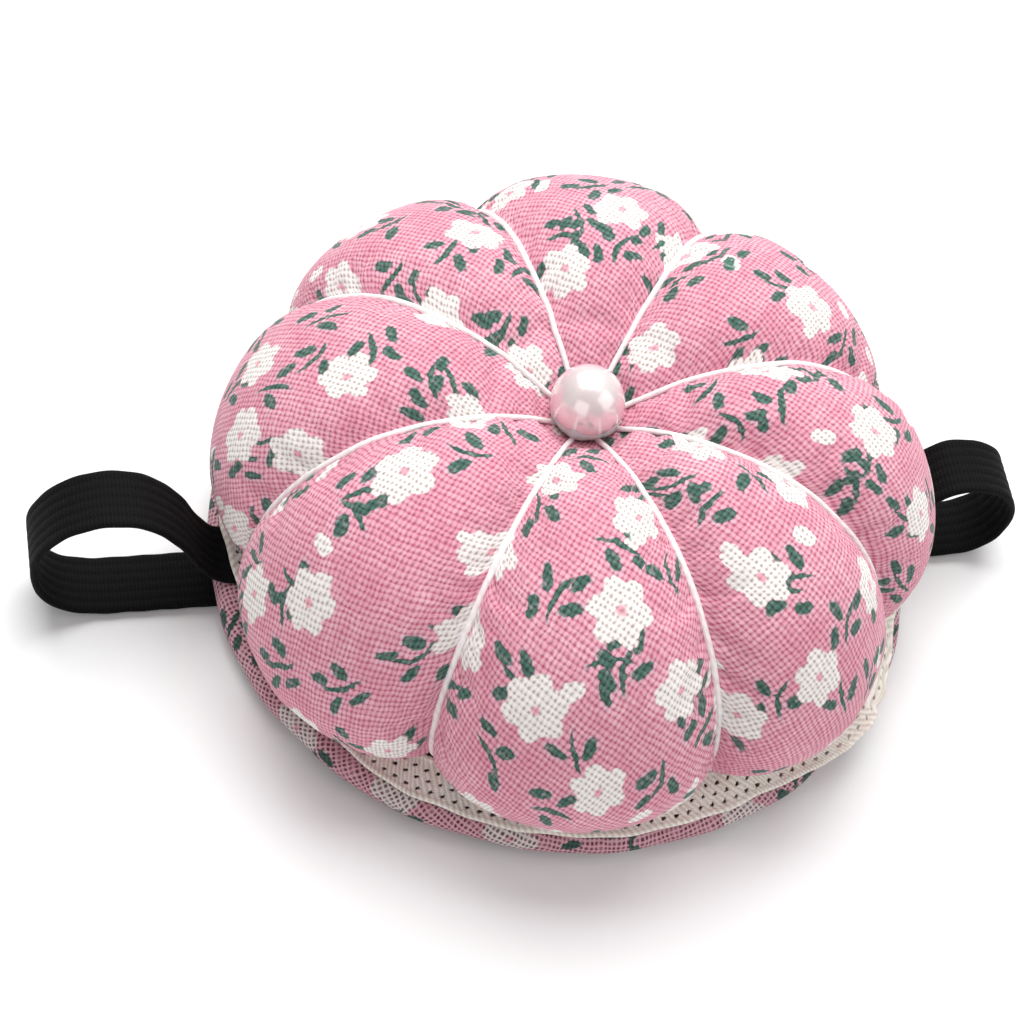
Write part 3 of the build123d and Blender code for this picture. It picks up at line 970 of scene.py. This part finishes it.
left_loop = strap("band_left", LEFT_UPPER, 150)
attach(left_loop, "root")
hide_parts("band_left_loop")
right_loop = strap("band_right", RIGHT_UPPER, 120)
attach(right_loop, "root")
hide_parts("band_right_loop")
lower = strap("band_lower", LEFT_BEND + tuple(reversed(RIGHT_BEND)), 420)
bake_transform(lower)
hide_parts("band_left_bend", "band_right_bend", "band_wrist_run")


# ---------------------------------------------------------------------------------------------
# Glue round the pearl
# ---------------------------------------------------------------------------------------------
GLUE_HIGHEST = radians(225)
GLUE_FOOT = -62  # degrees below the pearl's middle
GLUE_RISE, GLUE_HIGHER, GLUE_UNEVEN = 40, 13, 14  # degrees up the pearl from there
GLUE_EDGE, GLUE_BODY, GLUE_FILM = 0.03, 0.34, 0.05
GLUE_AROUND, GLUE_RINGS = 96, 22


def glue_collar():
    """Clear glue squeezed out between the dimple and the pearl, higher at the front left."""
    around, rings = GLUE_AROUND, GLUE_RINGS
    verts, faces = [], []
    for i in range(rings):
        t = i / (rings - 1)
        for c in range(around):
            a = 2 * pi * c / around
            uneven = noise.noise((1.6 * cos(a), 1.6 * sin(a), 4.0))
            uneven += 0.5 * noise.noise((5 * cos(a), 5 * sin(a), 7.0))
            higher = GLUE_HIGHER * (0.5 + 0.5 * cos(a - GLUE_HIGHEST))
            down = radians(GLUE_FOOT + (GLUE_RISE + higher + GLUE_UNEVEN * uneven) * t)
            body = GLUE_EDGE + (GLUE_BODY + 0.25 * uneven) * sin(pi * t) ** 0.9
            r = (PEARL_RADIUS + body) * cos(down)
            z = PEARL_Z + (PEARL_RADIUS + body) * sin(down)
            verts.append((r * cos(a) * MM, r * sin(a) * MM, z * MM))
    for i in range(rings - 1):
        for c in range(around):
            d = (c + 1) % around
            p, q = i * around, (i + 1) * around
            faces.append((p + c, p + d, q + d, q + c))
    piece = make_mesh("pearl_glue_collar", verts, faces)
    solid = piece.modifiers.new("thickness", "SOLIDIFY")
    solid.thickness = GLUE_FILM * MM
    solid.offset = -1
    apply_modifiers(piece)
    piece.data.materials.append(GLUE)
    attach(piece, "root")
    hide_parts("pearl_glue")


glue_collar()


# ---------------------------------------------------------------------------------------------
# CAD pieces that keep their own shape
# ---------------------------------------------------------------------------------------------
finish_cad("pearl_bead", pearl())
finish_cad("base_glue", GLUE)
finish_cad("fibre_filling", plain("polyester_filling", (0.8, 0.79, 0.76), (0.92, 0.91, 0.89), 900))
finish_cad("base_board", plain("grey_board", (0.42, 0.36, 0.28), (0.52, 0.45, 0.35), 400))
INNER_THREAD = plain("inner_thread", (0.8, 0.77, 0.74), (0.92, 0.9, 0.88), 2500)
for inner in ("centre_thread", "tie_knot", "gather_stitch"):
    finish_cad(inner, INNER_THREAD)


# ---------------------------------------------------------------------------------------------
# Floor, light and camera
# ---------------------------------------------------------------------------------------------
FLOOR_HALF = 3
FLOOR_Z = -0.0002
ROOM_LIGHT = 0.42
LIGHT_AIM = Vector((0, 0, 0.015))
LAMPS = (
    ("key", (0.06, 0.28, 0.50), 0.6, 5.3),
    ("fill", (0.45, -0.25, 0.35), 0.5, 0.8),
    ("front", (-0.35, -0.5, 0.3), 0.5, 0.75),
)


def studio():
    """A pale floor, even light all round and three soft lamps."""
    corners = [(x * FLOOR_HALF, y * FLOOR_HALF) for x, y in ((-1, -1), (1, -1), (1, 1), (-1, 1))]
    floor = make_mesh("floor", [(x, y, FLOOR_Z) for x, y in corners], [(0, 1, 2, 3)])
    n = Nodes("pale_floor")
    n.put(n.shader.inputs["Base Color"], (0.9, 0.9, 0.9))
    n.put(n.shader.inputs["Roughness"], 0.9)
    n.put(n.shader.inputs["Specular IOR Level"], 0.1)
    floor.data.materials.append(n.material)
    world = bpy.data.worlds.new("studio")
    world.use_nodes = True
    world.node_tree.nodes["Background"].inputs[0].default_value = (1, 1, 1, 1)
    world.node_tree.nodes["Background"].inputs[1].default_value = ROOM_LIGHT
    bpy.context.scene.world = world
    bpy.context.scene.view_settings.view_transform = "Standard"
    for name, place, size, power in LAMPS:
        light = bpy.data.lights.new(name, "AREA")
        light.shape = "SQUARE"
        light.size = size
        light.energy = power
        lamp = bpy.data.objects.new(name, light)
        bpy.context.scene.collection.objects.link(lamp)
        lamp.location = place
        lamp.rotation_euler = (LIGHT_AIM - Vector(place)).to_track_quat("-Z", "Y").to_euler()


# The distance, aim and lens are in millimetres, angles in degrees.
CAMERA_DISTANCE = 336.7
CAMERA_AIM = Vector((-7.27, -3.7, 15.0))
CAMERA_HEADING = 72.65
CAMERA_DROP = 54.16
CAMERA_ROLL = 10.46
CAMERA_LENS = 107.75


def camera():
    """The camera looks down on the cushion from the front, a little rolled."""
    heading, drop = radians(CAMERA_HEADING), radians(CAMERA_DROP)
    ahead = Vector((cos(drop) * cos(heading), cos(drop) * sin(heading), -sin(drop)))
    data = bpy.data.cameras.new("camera")
    data.lens = CAMERA_LENS
    data.sensor_width = 36
    data.clip_start = 0.01
    eye = bpy.data.objects.new("camera", data)
    bpy.context.scene.collection.objects.link(eye)
    turn = ahead.to_track_quat("-Z", "Y").to_matrix() @ Matrix.Rotation(radians(CAMERA_ROLL), 3, "Z")
    eye.matrix_world = Matrix.Translation((CAMERA_AIM - ahead * CAMERA_DISTANCE) * MM) @ turn.to_4x4()
    bpy.context.scene.camera = eye


studio()
camera()
